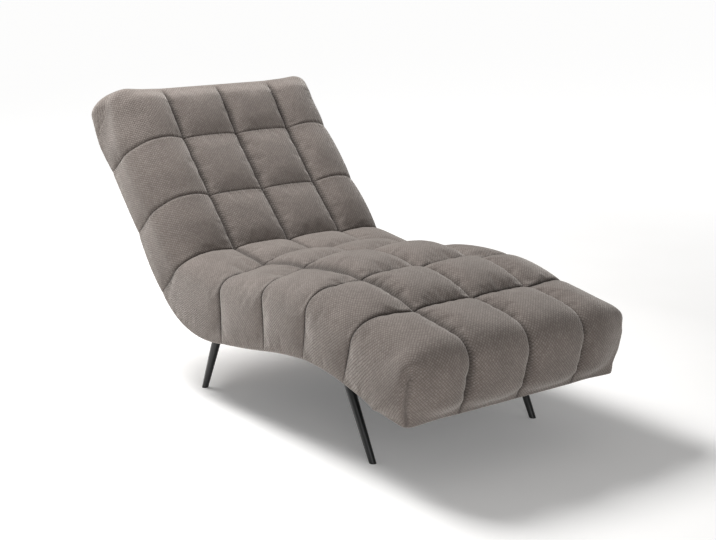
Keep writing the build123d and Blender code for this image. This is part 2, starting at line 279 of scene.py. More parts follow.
def half_section(depth, half, hem, roll, crest, hem_rise):
    """Half of the cover's section at the seams, as (x, height) from the middle seam to the hem."""
    reach, drop = shoulder_reach * roll, shoulder_drop * roll
    ridge = (half - reach, crest)
    inner = np.zeros((column_cells + 1, 2))
    inner[:, 0] = np.linspace(0, column_width, column_cells + 1)
    pad_middle = ((column_width + half - reach) / 2, crest)
    pad = bezier([(column_width, 0), pad_middle, ridge], pad_points)
    over = (half - reach * (1 - shoulder_bend), crest)
    beside = (half, -drop * (1 - shoulder_bend))
    shoulder = bezier([ridge, over, beside, (half, -drop)], shoulder_points)
    wall_end = (hem, -depth + hem_round)
    wall = bezier([(half, -drop), (half, -(drop + depth) / 2), wall_end], wall_points)
    turned_in = bezier([wall_end, (hem, -depth), (hem - hem_round, -depth)], hem_points)
    inside = np.array([(sheet_half, hem_rise - depth)])
    outer = np.concatenate([pad, shoulder[1:], wall[1:], turned_in[1:], inside])
    steps = distances(outer)
    corner_place = steps[len(pad) + len(shoulder) // 2 - 1]
    outer = resampled(outer, side_cells + 1)
    return np.concatenate([inner, outer[1:]]), corner_place, steps[-1]


# The seams of the seat run in a bow: in the middle they lie nearer to the hip, and lower, than at
# the sides. The shifts in y and z are by row and share of the row.
shift_places = (3, 4, 5, 6, 7, 7.4)
middle_shifts = ((0, 70, 65, 12, 8, 0), (0, -17, -15, -7, -7, 0))
side_shifts = (0, 25, 10, 9, 25, 0)
bow_start, bow_full = 390, 215

# The cover as a grid of points: stations along it, and places from hem to hem across it.
rows = np.array([station.row for station in stations])
open_shares = np.array([station.share for station in stations])
shares = np.clip(open_shares, 0, 1)
row_places = rows + shares
station_count = len(stations)
middle = column_cells + side_cells
width_count = 2 * middle + 1
column_seams = [middle - column_cells, middle, middle + column_cells]
grid = np.zeros((station_count, width_count, 3))
corner_distance = np.zeros((station_count, width_count))
places = np.abs(np.arange(width_count) - middle)
side_share = np.clip((places - column_cells) / side_cells, 0, 1)
for i, (top, foot, row, share, draw_in, roll, fan) in enumerate(stations):
    depth = np.linalg.norm(top - foot)
    outward = (top - foot) / depth
    crest = np.interp(row_places[i], range(row_count + 1), shoulder_crests)
    half = half_width - draw_in
    if row == 0:
        hem = half_width - hem_draw_in + (head_flare + hem_draw_in) * smooth_step(1, 0, share)
        hem_rise = hem_drop + (head_hem_drop - hem_drop) * fan
        crest -= head_end_dip * smooth_step(0, open_shares.min(), share)
    else:
        hem = half - hem_draw_in
        hem_rise = hem_drop * (1 - fan)
    half_line, corner_place, outer_length = half_section(depth, half, hem, roll, crest, hem_rise)
    corner_distance[i] = side_share * outer_length - corner_place
    line = np.concatenate([half_line[:0:-1] * (-1, 1), half_line])
    grid[i, :, 0] = line[:, 0]
    grid[i, :, 1:] = top + line[:, 1:] * outward
    inner_share = smooth_step(bow_start, bow_full, np.abs(line[:, 0]))
    middle_shift = np.array(
        [np.interp(row_places[i], shift_places, shifts) for shifts in middle_shifts]
    )
    side_shift = np.array([np.interp(row_places[i], shift_places, side_shifts), 0])
    grid[i, :, 1:] += side_shift + (middle_shift - side_shift) * inner_share[:, None]


def outward_normals(surface):
    """Unit normals of a grid of points that runs towards the foot and to the left."""
    along = np.gradient(surface, axis=0)
    across = np.gradient(surface, axis=1)
    normals = np.cross(across, along)
    return -normals / np.maximum(np.linalg.norm(normals, axis=2, keepdims=True), tiny)


def pillow(share, power):
    """Rise of a pad between two seams: steep beside them and flat in the middle."""
    return np.clip(4 * share * (1 - share), 0, 1) ** power


# Fullness of the pads: a bow of the seams between their crossings, and pillows between the seams.
# The spans are shares of the side, from the outer seam to the hem, or of a row.
shoulder_place = 0.3
across_power = 0.3
along_power = 0.45
top_zone_span = (0.14, 0.5)
hem_fade_span = (0.74, 0.95)
front_fill = 0.92
outer_column = places > column_cells
across_pad = np.where(
    outer_column,
    pillow(np.clip(side_share / shoulder_place, 0, 1) / 2, across_power),
    pillow(np.where(outer_column, 0, places / column_cells), across_power),
)
top_zone = np.where(outer_column, 1 - smooth_step(*top_zone_span, side_share), 1)
hem_fade = 1 - smooth_step(*hem_fade_span, side_share)
head_row = rows == 0
foot_row = rows == row_count - 1
row_share = np.where(foot_row & (shares > 0.5), 0.5 + (shares - 0.5) * front_fill, shares)
along_pad = pillow(row_share, along_power)
along_bow = pillow(row_share, 1)
head_span = -open_shares.min()
side_row_share = np.where(head_row, (open_shares + head_span) / (1 + head_span), row_share)
along_side = pillow(side_row_share, along_power)


def by_row(*values):
    """Values at the stations from one value for each row, without a step at the seams."""
    return np.interp(row_places, np.arange(row_count) + 0.5, values)[:, None]


# Heights by row: bow of the lengthwise seams, bow of the cross seams, and the pads on the face and
# on the sides. Then shares: how far the outer columns fill out, and how far the cloth may move.
bow_along = by_row(3, 3, 3, 5, 8, 10, 10, 10)
bow_across = by_row(26, 26, 22, 9, 11, 13, 13, 12)
pad_rise = by_row(4, 4, 5, 10, 16, 20, 20, 18)
side_rise = by_row(10, 10, 10, 7, 6, 6, 7, 7)
outer_fill = np.where(outer_column[None, :], by_row(1, 1, 1, 0.5, 0.32, 0.6, 0.85, 0.85), 1)
row_calm = by_row(0.5, 0.5, 0.5, 0.6, 0.8, 1, 1, 1)
side_calm = 0.5
head_fade_span = (-0.02, 0.3)
front_fade_from = 0.85
side_fade_to = 0.35
end_fade = np.where(head_row, smooth_step(*head_fade_span, open_shares), 1)
end_fade = np.where(foot_row, 1 - smooth_step(front_fade_from, 1, shares), end_fade)
face_rise = (
    bow_along * along_bow[:, None]
    + bow_across * across_pad[None, :]
    + pad_rise * along_pad[:, None] * across_pad[None, :]
)
rise = top_zone[None, :] * outer_fill * face_rise * end_fade[:, None]
rise += (1 - top_zone)[None, :] * side_rise * along_side[:, None] * hem_fade[None, :]
at_end = head_row & (side_row_share <= 0.5) | foot_row & (side_row_share >= 0.5)
to_end = np.minimum(side_row_share, 1 - side_row_share)
side_fade = np.where(at_end, smooth_step(0, side_fade_to, to_end), 1)
calm = top_zone[None, :] * end_fade[:, None]
calm = calm + side_calm * (1 - top_zone)[None, :] * side_fade[:, None]
calm = calm * row_calm

# Distances along the side line and across, for the seams and for the weave. The lengthwise seams
# begin a little below the head edge.
usual_depth = 195
seam_start_span = (12, 34)
path_along = distances(grid[:, middle, 1:])
half_line, _, _ = half_section(usual_depth, half_width, half_width - hem_draw_in, 1, 0, hem_drop)
half_arc = distances(half_line)
path_across = np.concatenate([-half_arc[:0:-1], half_arc])
last_of_row = np.flatnonzero(np.diff(rows))
seam_places = path_along[last_of_row]
head_edge = int(np.argmin(np.abs(open_shares)))
along_to_seam = np.abs(path_along[:, None] - seam_places[None, :]).min(axis=1)[:, None]
column_places = np.array([-column_width, 0, column_width])
across_to_seam = np.abs(path_across[:, None] - column_places[None, :]).min(axis=1)[None, :]
below_edge = smooth_step(*seam_start_span, path_along - path_along[head_edge])[:, None]

# Sewn dart down each front corner, with a dimple where it starts. The corners of the hem droop.
dart_start = 0.6
dart_ease = 0.04
dart_fade_span = (0.9, 0.98)
dart_depth, dart_width = 8, 8
dimple_depth, dimple_width, dimple_length = 9, 16, 15
droop_from = 0.8
droop_span = (250, 390)
far_away = 999
dart_run = smooth_step(dart_start - dart_ease, dart_start + dart_ease, shares)
dart_run = np.where(foot_row, dart_run, 0)[:, None]
dart_end = (1 - smooth_step(*dart_fade_span, shares))[:, None]
dart = dart_depth * dart_run * dart_end * np.exp(-((corner_distance / dart_width) ** 2))
from_start = np.where(foot_row, (shares - dart_start) * foot_total, far_away)[:, None]
dart += dimple_depth * np.exp(
    -((corner_distance / dimple_width) ** 2) - (from_start / dimple_length) ** 2
)
surface = grid + outward_normals(grid) * (rise - dart)[:, :, None]
droop = np.where(foot_row, smooth_step(droop_from, 1, shares), 0)[:, None]
droop = droop * smooth_step(*droop_span, np.abs(grid[:, :, 0]))
surface[:, :, 2] -= hem_corner_droop * droop


def grid_faces(long_count, wide_count):
    """Faces of a grid of points, row by row, that face outwards."""
    index = np.arange(long_count * wide_count).reshape(long_count, wide_count)
    corners = (index[:-1, :-1], index[1:, :-1], index[1:, 1:], index[:-1, 1:])
    return np.stack([c.ravel() for c in corners], axis=1).tolist()


filling_steps = 20
filling_limit = 12


def filled_out(surface, sewn):
    """The cover after a short cloth simulation: wadding presses it out, seams and hems hold it."""
    mesh = bpy.data.meshes.new("cover_cloth")
    points = [tuple(v) for v in surface.reshape(-1, 3) * MM]
    mesh.from_pydata(points, [], grid_faces(*surface.shape[:2]))
    cover = bpy.data.objects.new("cover_cloth", mesh)
    bpy.context.scene.collection.objects.link(cover)
    group = cover.vertex_groups.new(name="sewn")
    group.add(np.flatnonzero(sewn.ravel()).tolist(), 1.0, "REPLACE")
    cloth = cover.modifiers.new("filling", "CLOTH")
    cloth.settings.quality = 6
    cloth.settings.vertex_group_mass = "sewn"
    cloth.settings.use_pressure = True
    cloth.settings.uniform_pressure_force = 4
    cloth.settings.shrink_min = -0.03
    cloth.settings.effector_weights.gravity = 0
    cloth.collision_settings.use_collision = False
    cloth.point_cache.frame_start = 1
    cloth.point_cache.frame_end = filling_steps
    for step in range(1, filling_steps + 1):
        bpy.context.scene.frame_set(step)
    pressed = cover.evaluated_get(bpy.context.evaluated_depsgraph_get()).to_mesh()
    points = np.zeros(surface.size, np.float32)
    pressed.vertices.foreach_get("co", points)
    bpy.data.objects.remove(cover)
    bpy.data.meshes.remove(mesh)
    bpy.context.scene.frame_set(1)
    moved = (points.reshape(surface.shape) / MM - surface) * calm[:, :, None]
    reach = np.linalg.norm(moved, axis=2, keepdims=True)
    return surface + moved * np.minimum(1, filling_limit / np.maximum(reach, tiny))


# What is sewn or held: cross seams, both ends, the head edge, the hems, lengthwise seams and darts.
held_hem = 0.86
held_dart = 5
sewn = np.zeros(surface.shape[:2], bool)
sewn[last_of_row] = True
sewn[[0, -1]] = True
sewn[head_edge, side_share < shoulder_place] = True
sewn[:, side_share > held_hem] = True
sewn[:, column_seams] |= below_edge > 0.5
sewn |= (dart_run > 0.5) & (np.abs(corner_distance) < held_dart)

# Weave coordinates in metres, by true lengths on the cover: across from the middle, and along each
# row.
weave_rise = 20
flat_rise = weave_rise * top_zone[None, :] * end_fade[:, None]
flat_cover = grid + outward_normals(grid) * flat_rise[:, :, None]
steps_across = np.linalg.norm(np.diff(flat_cover, axis=1), axis=2)
weave_across = np.zeros((station_count, width_count))
weave_across[:, 1:] = np.cumsum(steps_across, axis=1)
weave_across = (weave_across - weave_across[:, [middle]]) * MM
steps_along = np.linalg.norm(np.diff(flat_cover, axis=0), axis=2)
weave_along = np.zeros((station_count, width_count))
weave_along[1:] = np.cumsum(steps_along, axis=0)
row_middles = [(a + b) // 2 for a, b in zip(last_of_row, last_of_row[1:])]
for row, anchor in enumerate([last_of_row[0], *row_middles, last_of_row[-1]]):
    weave_along[rows == row] += path_along[anchor] - weave_along[anchor]
weave_along *= MM

# On the sides of the foot row the weave lies flat, and it meets the weave of the front along the
# sewn dart.
front_weave_span = (0.48, 0.62)
dart_station = int(np.argmin(np.abs(np.where(foot_row, shares, far_away) - dart_start)))
for i in range(last_of_row[-1] + 1, station_count):
    anchor = min(i, dart_station)
    level = smooth_step(*front_weave_span, shares[i])
    for side in (-1, 1):
        this_half = side * (np.arange(width_count) - middle) > 0
        edge = middle + side * column_cells
        front = this_half & outer_column & (corner_distance[i] <= 0)
        away = (flat_cover[i, front] - flat_cover[i, edge]) * MM
        flat_across = weave_across[i, edge] + away[:, 0]
        flat_along = weave_along[i, edge] - away[:, 2]
        weave_across[i, front] += level * (flat_across - weave_across[i, front])
        weave_along[i, front] += level * (flat_along - weave_along[i, front])
        outside = this_half & (corner_distance[i] > 0)
        face = np.flatnonzero(this_half & (corner_distance[anchor] <= 0))
        corner = face[-1] if side > 0 else face[0]
        away = (flat_cover[i, outside] - flat_cover[anchor, corner]) * MM
        weave_across[i, outside] = weave_across[anchor, corner] - side * away[:, 2]
        weave_along[i, outside] = weave_along[anchor, corner] - away[:, 1]

surface = filled_out(surface, sewn)

# Shares that the chenille's material reads: how close a sewn line is, which sets the painted shade
# in the seam creases, and where the cross seams pucker. Both fade out on the sides.
cross_seam_reach = 5
dart_line_reach = 4
dart_line_share = 0.5
pucker_reach = 17
seam_fade_span = (0.75, 0.9)
pucker_fade_span = (0.6, 0.9)
long_seam_reach = by_row(9, 9, 9, 7, 6, 6, 6, 6)
# Painted shade: strongest on the seam line itself, weaker on the cross seams of the back, widest on
# the lengthwise seams of the back.
painted_seam_shade = np.exp(-((along_to_seam / cross_seam_reach) ** 2))
painted_seam_shade = painted_seam_shade * (1 - smooth_step(*seam_fade_span, side_share))[None, :]
painted_seam_shade = painted_seam_shade * by_row(0.45, 0.45, 0.6, 1, 1, 1, 1, 1)
long_near = np.exp(-((across_to_seam / long_seam_reach) ** 2)) * below_edge
dart_near = dart_line_share * dart_run * np.exp(-((corner_distance / dart_line_reach) ** 2))
painted_seam_shade = np.maximum(np.maximum(painted_seam_shade, long_near), dart_near)
puckers = np.exp(-((along_to_seam / pucker_reach) ** 2))
puckers = puckers * by_row(1, 1, 1, 0.5, 0.4, 0.4, 0.4, 0.3)
puckers = puckers * (1 - smooth_step(*pucker_fade_span, side_share))[None, :]


def linear(code):
    """Linear colour of an sRGB hex value."""
    channels = [int(code[i : i + 2], 16) / 255 for i in (1, 3, 5)]
    curve = [c / 12.92 if c <= 0.04045 else ((c + 0.055) / 1.055) ** 2.4 for c in channels]
    return (*curve, 1.0)


def set_sockets(tree, node, sockets):
    """Links or sets the inputs of a node."""
    for socket, value in sockets.items():
        if isinstance(value, bpy.types.NodeSocket):
            tree.links.new(value, node.inputs[socket])
        else:
            node.inputs[socket].default_value = value


def add_node(tree, kind, sockets=(), **settings):
    """A node with its settings, and with its inputs linked or set."""
    made = tree.nodes.new(kind)
    for key, value in settings.items():
        setattr(made, key, value)
    set_sockets(tree, made, dict(sockets))
    return made


def new_material(name):
    """An empty material with its shader."""
    material = bpy.data.materials.new(name)
    material.use_nodes = True
    tree = material.node_tree
    return material, tree, tree.nodes["Principled BSDF"]


# The Mix node has sockets of the same name for each type. These are its share, its two colours and
# its mixed colour.
SHARE, FIRST, SECOND, MIXED = 0, 6, 7, 2

# Structured chenille: plump tufts of cut pile in a diagonal lattice, 6.5 mm apart, with dark ground
# between them, a soft nap that lightens at grazing angles, and painted shade along the sewn lines,
# where the pile is also pressed.
tuft = 6.5 * MM
chenille, tree, shader = new_material("structured_chenille")
weave = add_node(tree, "ShaderNodeUVMap", uv_map="weave").outputs["UV"]
yarn = add_node(
    tree, "ShaderNodeTexNoise", {"Vector": weave, "Scale": 1 / (12 * MM), "Detail": 4.0}
)
wander = add_node(
    tree,
    "ShaderNodeVectorMath",
    {0: yarn.outputs["Color"], 1: (0.5, 0.5, 0.5)},
    operation="SUBTRACT",
)
shift = add_node(
    tree, "ShaderNodeVectorMath", {0: wander.outputs[0], "Scale": 4.5 * MM}, operation="SCALE"
)
uneven = add_node(
    tree, "ShaderNodeVectorMath", {0: weave, 1: shift.outputs[0]}, operation="ADD"
)
diagonal = add_node(
    tree, "ShaderNodeMapping", {"Vector": uneven.outputs[0], "Rotation": (0.0, 0.0, radians(45))}
)
tufts = add_node(
    tree,
    "ShaderNodeTexBrick",
    {
        "Vector": diagonal.outputs[0],
        "Color1": linear("#8B827C"),
        "Color2": linear("#7B726C"),
        "Mortar": linear("#685F5A"),
        "Scale": 1.0,
        "Mortar Size": 1.8 * MM,
        "Mortar Smooth": 1.0,
        "Brick Width": tuft,
        "Row Height": tuft,
    },
    offset=0.0,
)
nap = add_node(
    tree,
    "ShaderNodeTexNoise",
    {"Vector": weave, "Scale": 1 / (90 * MM), "Detail": 4.0, "Roughness": 0.6},
)
nap_light = add_node(
    tree,
    "ShaderNodeMapRange",
    {"Value": nap.outputs["Fac"], "From Min": 0.3, "From Max": 0.7, "To Min": 0.79, "To Max": 0.97},
)
# Painted shade: the colour darkens to 0.38 of itself along the sewn lines, standing in for the
# shadow in the seam creases.
seam_shade_share = add_node(tree, "ShaderNodeAttribute", attribute_name="painted_seam_shade")
pressed = add_node(
    tree, "ShaderNodeMapRange", {"Value": seam_shade_share.outputs["Fac"], "To Min": 1.0, "To Max": 0.38}
)
fuzz = add_node(
    tree, "ShaderNodeTexNoise", {"Vector": weave, "Scale": 1 / (1.6 * MM), "Detail": 3.0}
)
fuzz_light = add_node(
    tree,
    "ShaderNodeMapRange",
    {"Value": fuzz.outputs["Fac"], "From Min": 0.3, "From Max": 0.7, "To Min": 0.8, "To Max": 1.2},
)
nap_fuzz = add_node(
    tree,
    "ShaderNodeMath",
    {0: nap_light.outputs[0], 1: fuzz_light.outputs[0]},
    operation="MULTIPLY",
)
shade = add_node(
    tree, "ShaderNodeMath", {0: nap_fuzz.outputs[0], 1: pressed.outputs[0]}, operation="MULTIPLY"
)
napped = add_node(
    tree,
    "ShaderNodeVectorMath",
    {0: tufts.outputs["Color"], "Scale": shade.outputs[0]},
    operation="SCALE",
)
pile = add_node(
    tree,
    "ShaderNodeMath",
    {0: fuzz.outputs["Fac"], 1: 0.6, 2: tufts.outputs["Fac"]},
    operation="MULTIPLY_ADD",
)
relief = add_node(
    tree,
    "ShaderNodeBump",
    {"Height": pile.outputs[0], "Strength": 0.5, "Distance": 1.5 * MM},
    invert=True,
)
# Short puckers, about 9 mm apart, where the cross seams gather the cloth.
gathers = add_node(
    tree, "ShaderNodeMapping", {"Vector": weave, "Scale": (1 / (9 * MM), 1 / (60 * MM), 1.0)}
)
folds = add_node(
    tree, "ShaderNodeTexNoise", {"Vector": gathers.outputs[0], "Scale": 1.0, "Detail": 1.0}
)
gathered = add_node(tree, "ShaderNodeAttribute", attribute_name="puckers")
fold_height = add_node(
    tree,
    "ShaderNodeMath",
    {0: folds.outputs["Fac"], 1: gathered.outputs["Fac"]},
    operation="MULTIPLY",
)
puckered = add_node(
    tree,
    "ShaderNodeBump",
    {
        "Height": fold_height.outputs[0],
        "Strength": 0.9,
        "Distance": 6 * MM,
        "Normal": relief.outputs["Normal"],
    },
)
rough = add_node(
    tree, "ShaderNodeMapRange", {"Value": fuzz.outputs["Fac"], "To Min": 0.82, "To Max": 0.98}
)
set_sockets(
    tree,
    shader,
    {
        "Base Color": napped.outputs[0],
        "Normal": puckered.outputs["Normal"],
        "Roughness": rough.outputs[0],
        "Specular IOR Level": 0.2,
        "Sheen Weight": 0.75,
        "Sheen Roughness": 0.4,
        "Sheen Tint": linear("#D8D3CD"),
    },
)


def new_piece(name, vertices, faces, weave_points, material):
    """A mesh piece with its weave, material and slot, riding on the lounger's one body."""
    mesh = bpy.data.meshes.new(name)
    mesh.from_pydata([tuple(v) for v in vertices], [], faces)
    layer = mesh.uv_layers.new(name="weave")
    loops = np.zeros(len(mesh.loops), int)
    mesh.loops.foreach_get("vertex_index", loops)
    layer.data.foreach_set("uv", np.asarray(weave_points, np.float32)[loops].ravel())
    mesh.materials.append(material)
    mesh.polygons.foreach_set("use_smooth", [True] * len(mesh.polygons))
    piece = bpy.data.objects.new(name, mesh)
    bpy.context.scene.collection.objects.link(piece)
    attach(piece, "root")
    return piece


def thicken(piece, name, thickness):
    """Gives an open sheet its thickness, inwards."""
    wall = piece.modifiers.new(name, "SOLIDIFY")
    wall.thickness = thickness * MM
    wall.offset = -1


# One piece for each sewn row. Neighbours share the points of their seam, and the lengthwise seams
# are creased from a few stations below the head edge.
crease_gap = 3
for row in range(row_count):
    picked = np.flatnonzero(rows == row)
    if row:
        picked = np.concatenate([[picked[0] - 1], picked])
    points = surface[picked] * MM
    weave_points = np.stack([weave_across[picked], weave_along[picked]], axis=2)
    if row:
        weave_points[0, :, 1] = weave_points[1, :, 1] - steps_along[picked[0]] * MM
    faces = grid_faces(len(picked), width_count)
    piece = new_piece(
        f"quilted_row_{row + 1}",
        points.reshape(-1, 3),
        faces,
        weave_points.reshape(-1, 2),
        chenille,
    )
    for key, values in (("painted_seam_shade", painted_seam_shade), ("puckers", puckers)):
        layer = piece.data.attributes.new(key, "FLOAT", "POINT")
        layer.data.foreach_set("value", values[picked].astype(np.float32).ravel())
    ends = np.zeros(2 * len(piece.data.edges), int)
    piece.data.edges.foreach_get("vertices", ends)
    end_stations, end_places = np.divmod(ends.reshape(-1, 2), width_count)
    in_column = np.isin(end_places, column_seams).all(axis=1)
    lengthwise = end_places[:, 0] == end_places[:, 1]
    below_top = end_stations.min(axis=1) + picked[0] > head_edge + crease_gap
    crease = piece.data.attributes.new("crease_edge", "FLOAT", "EDGE")
    crease.data.foreach_set("value", (in_column & lengthwise & below_top).astype(np.float32))
    smooth = piece.modifiers.new("smooth", "SUBSURF")
    smooth.levels = smooth.render_levels = 1
    smooth.boundary_smooth = "PRESERVE_CORNERS"
    thicken(piece, "wadding", cover_thickness)
    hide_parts(f"cover_row_{row + 1}")


fine_steps = 12


def smooth_line(points, count):
    """Points of a natural cubic spline through the given points, at even distances."""
    knots = distances(points)
    steps = np.diff(knots)
    size = len(points)
    system = np.eye(size)
    target = np.zeros_like(points)
    for i in range(1, size - 1):
        system[i, i - 1 : i + 2] = steps[i - 1], 2 * (steps[i - 1] + steps[i]), steps[i]
        run_after = (points[i + 1] - points[i]) / steps[i]
        target[i] = 6 * (run_after - (points[i] - points[i - 1]) / steps[i - 1])
    bends = np.linalg.solve(system, target)
    places = np.linspace(0, knots[-1], fine_steps * count)
    spans = np.clip(np.searchsorted(knots, places, side="right") - 1, 0, size - 2)
    late = ((places - knots[spans]) / steps[spans])[:, None]
    early = 1 - late
    reach = (steps[spans] ** 2)[:, None] / 6
    line = early * points[spans] + late * points[spans + 1]
    line += reach * ((early**3 - early) * bends[spans] + (late**3 - late) * bends[spans + 1])
    return resampled(line, count)


# Underside line of the body, from the head end to the front, as a smooth curve through its points.
# The back panel meets the dust cloth at the heel.
underside_count = 220
heel_setback = 281
underside_points = [p for pair in zip(seam_feet, mid_feet) for p in pair] + [front_foot]
underside = smooth_line(np.array(underside_points), underside_count)
heel = int(np.argmax(underside[:, 0] < heel_setback))
sheet_places = 49
sheet_thickness = 2
crown_along, crown_across = 0.5, 4


def stretched_sheet(name, line, halves, crown, cut_outs, material, nodes):
    """A cloth stretched over the underside, with its weave and cut-outs, as a thin closed sheet."""
    edges = [x for low, high in cut_outs for x in (low[0], high[0])]
    across = np.linspace(-1, 1, sheet_places)
    across = np.unique(np.concatenate([across, np.array(edges) / (sheet_half * MM)]))
    run = np.gradient(line, axis=0)
    outward = np.stack([-run[:, 1], run[:, 0]], axis=1)
    outward /= np.linalg.norm(outward, axis=1, keepdims=True)
    lengths = distances(line)
    along_swell = pillow(lengths / lengths[-1], crown_along)
    swell = crown * (along_swell[:, None] * (1 - np.abs(across) ** crown_across)[None, :])
    points = np.zeros((len(line), len(across), 3))
    points[:, :, 0] = halves[:, None] * across[None, :]
    points[:, :, 1:] = line[:, None, :] + outward[:, None, :] * swell[:, :, None]
    points *= MM
    flat_points = points.reshape(-1, 3)
    kept = []
    for face in grid_faces(len(line), len(across)):
        centre = flat_points[face[::-1]].mean(axis=0)
        if not any(np.all((low < centre[:2]) & (centre[:2] < high)) for low, high in cut_outs):
            kept.append(face[::-1])
    weave_along = np.broadcast_to(lengths[:, None] * MM, points.shape[:2])
    weave_points = np.stack([points[:, :, 0], weave_along], axis=2)
    piece = new_piece(name, flat_points, kept, weave_points.reshape(-1, 2), material)
    thicken(piece, "cloth", sheet_thickness)
    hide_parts(nodes[0])


# Spun-bonded polypropylene dust cloth: matt black felt with a fine grid of embossed dots.
dust_felt, tree, shader = new_material("spunbonded_polypropylene")
weave = add_node(tree, "ShaderNodeUVMap", uv_map="weave").outputs["UV"]
dots = add_node(
    tree, "ShaderNodeTexVoronoi", {"Vector": weave, "Scale": 1 / (3 * MM), "Randomness": 0.15}
)
fibres = add_node(
    tree, "ShaderNodeTexNoise", {"Vector": weave, "Scale": 1 / (12 * MM), "Detail": 6.0}
)
tone = add_node(
    tree,
    "ShaderNodeMix",
    {SHARE: fibres.outputs["Fac"], FIRST: linear("#141414"), SECOND: linear("#2A2A2A")},
    data_type="RGBA",
)
relief = add_node(
    tree,
    "ShaderNodeBump",
    {"Height": dots.outputs["Distance"], "Strength": 0.4, "Distance": 0.6 * MM},
)
set_sockets(
    tree,
    shader,
    {"Base Color": tone.outputs[MIXED], "Normal": relief.outputs["Normal"], "Roughness": 0.9},
)

# The back is closed by plain cover fabric over its board. It runs on a little past the underside at
# the head, reaches out to the fanned sides there, and has rounded corners.
end_reach = 40
reach_fade = (20, 70)
panel_run_on = head_lean - 3
corner_cut, corner_run = 16, 22
back_line = underside[: heel + 1]
head_end = back_line[0] - unit(back_line[1] - back_line[0]) * panel_run_on
back_line = np.concatenate([[head_end], back_line])
from_head = distances(back_line)
reach_left = 1 - smooth_step(head_fold + reach_fade[0], head_fold + reach_fade[1], from_head)
back_halves = sheet_half + end_reach * reach_left
back_halves -= corner_cut * (1 - smooth_step(0, corner_run, from_head))
stretched_sheet(
    "outer_back_panel",
    back_line,
    back_halves,
    crown=3,
    cut_outs=[],
    material=chenille,
    nodes=["outer_back_cover", "outer_back_board"],
)

# The seat is closed by the dust cloth, which is wider at the toe and cut out around the leg plates.
toe_reach = 14
toe_fade = (-30, 10)
hole_margin = 8
leg_corners = ("front_left", "front_right", "rear_left", "rear_right")
dust_line = underside[heel:-1]
to_front = np.linalg.norm(dust_line - dust_line[-1], axis=1)
reach_left = 1 - smooth_step(toe_fold + toe_fade[0], toe_fold + toe_fade[1], to_front)
dust_halves = sheet_half + toe_reach * reach_left
leg_holes = []
for corner in leg_corners:
    plate_low, plate_high = (np.array(c[:2]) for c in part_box(f"leg_plate_{corner}"))
    on_left = plate_low[0] > 0
    plate_low[0] -= MM if on_left else hole_margin * MM
    plate_high[0] += hole_margin * MM if on_left else MM
    leg_holes.append((plate_low, plate_high))
stretched_sheet(
    "dust_cloth",
    dust_line,
    dust_halves,
    crown=0,
    cut_outs=leg_holes,
    material=dust_felt,
    nodes=["dust_cover", "side_panel_left", "side_panel_right"],
)

# Layers under the cover, as in the solids: foam under the rows, and webbing under the foam.
foam_top = 12.3
foam_thickness = 60
foam_press = 26
foam_press_span = (215, 315)
foam_steps = 12
foam_places = 61
straps_per_row = 2
strap_width = 60
strap_thickness = 1.8
strap_gap = 0.2
strap_slack = 1.2
strap_places, strap_lines = 40, 7
inner_half = inner_half_width - 0.3
straight_on = 0.9999


def layer_line(depth, front_depth):
    """Corners of the side line at a depth under the rows and behind the front, head end first."""
    normals = [row_normals[0], *row_normals, inward(front_slope)]
    depths = [depth] * (row_count + 1) + [front_depth]
    corners = []
    for i, corner in enumerate(seam_points):
        above, below = normals[i : i + 2]
        if abs(above @ below) < straight_on:
            corners.append(corner + np.linalg.solve(np.array([above, below]), depths[i : i + 2]))
        else:
            corners.append(corner + above * depths[i])
    corners[0] = corners[0] + heading(row_slopes[0]) * foam_top
    return corners


# Polyurethane foam: pale cream, matt, with fine open cells.
foam, tree, shader = new_material("polyurethane_foam")
spot = add_node(tree, "ShaderNodeTexCoord").outputs["Object"]
cells = add_node(tree, "ShaderNodeTexVoronoi", {"Vector": spot, "Scale": 1 / (1.8 * MM)})
tone = add_node(
    tree,
    "ShaderNodeMix",
    {SHARE: cells.outputs["Distance"], FIRST: linear("#E9DDB8"), SECOND: linear("#F4EBD0")},
    data_type="RGBA",
)
relief = add_node(
    tree,
    "ShaderNodeBump",
    {"Height": cells.outputs["Distance"], "Strength": 0.5, "Distance": 0.8 * MM},
)
set_sockets(
    tree,
    shader,
    {"Base Color": tone.outputs[MIXED], "Normal": relief.outputs["Normal"], "Roughness": 0.95},
)

# Elastic webbing: dark grey woven strap, lighter where its bands of thread cross. A wave's period
# is 0.314 of its size value, so the bands lie about 13 mm apart across and 16 mm along the strap.
webbing, tree, shader = new_material("elastic_webbing")
weave = add_node(tree, "ShaderNodeUVMap", uv_map="weave").outputs["UV"]
threads = add_node(
    tree,
    "ShaderNodeTexWave",
    {"Vector": weave, "Scale": 1 / (40 * MM), "Distortion": 0.4},
    bands_direction="Y",
)
picks = add_node(
    tree, "ShaderNodeTexWave", {"Vector": weave, "Scale": 1 / (50 * MM)}, bands_direction="X"
)
cross = add_node(
    tree,
    "ShaderNodeMath",
    {0: threads.outputs["Fac"], 1: picks.outputs["Fac"]},
    operation="MULTIPLY",
)
tone = add_node(
    tree,
    "ShaderNodeMix",
    {SHARE: cross.outputs[0], FIRST: linear("#2C2B2A"), SECOND: linear("#6A6763")},
    data_type="RGBA",
)
relief = add_node(
    tree, "ShaderNodeBump", {"Height": cross.outputs[0], "Strength": 0.5, "Distance": 0.7 * MM}
)
set_sockets(
    tree,
    shader,
    {"Base Color": tone.outputs[MIXED], "Normal": relief.outputs["Normal"], "Roughness": 0.85},
)


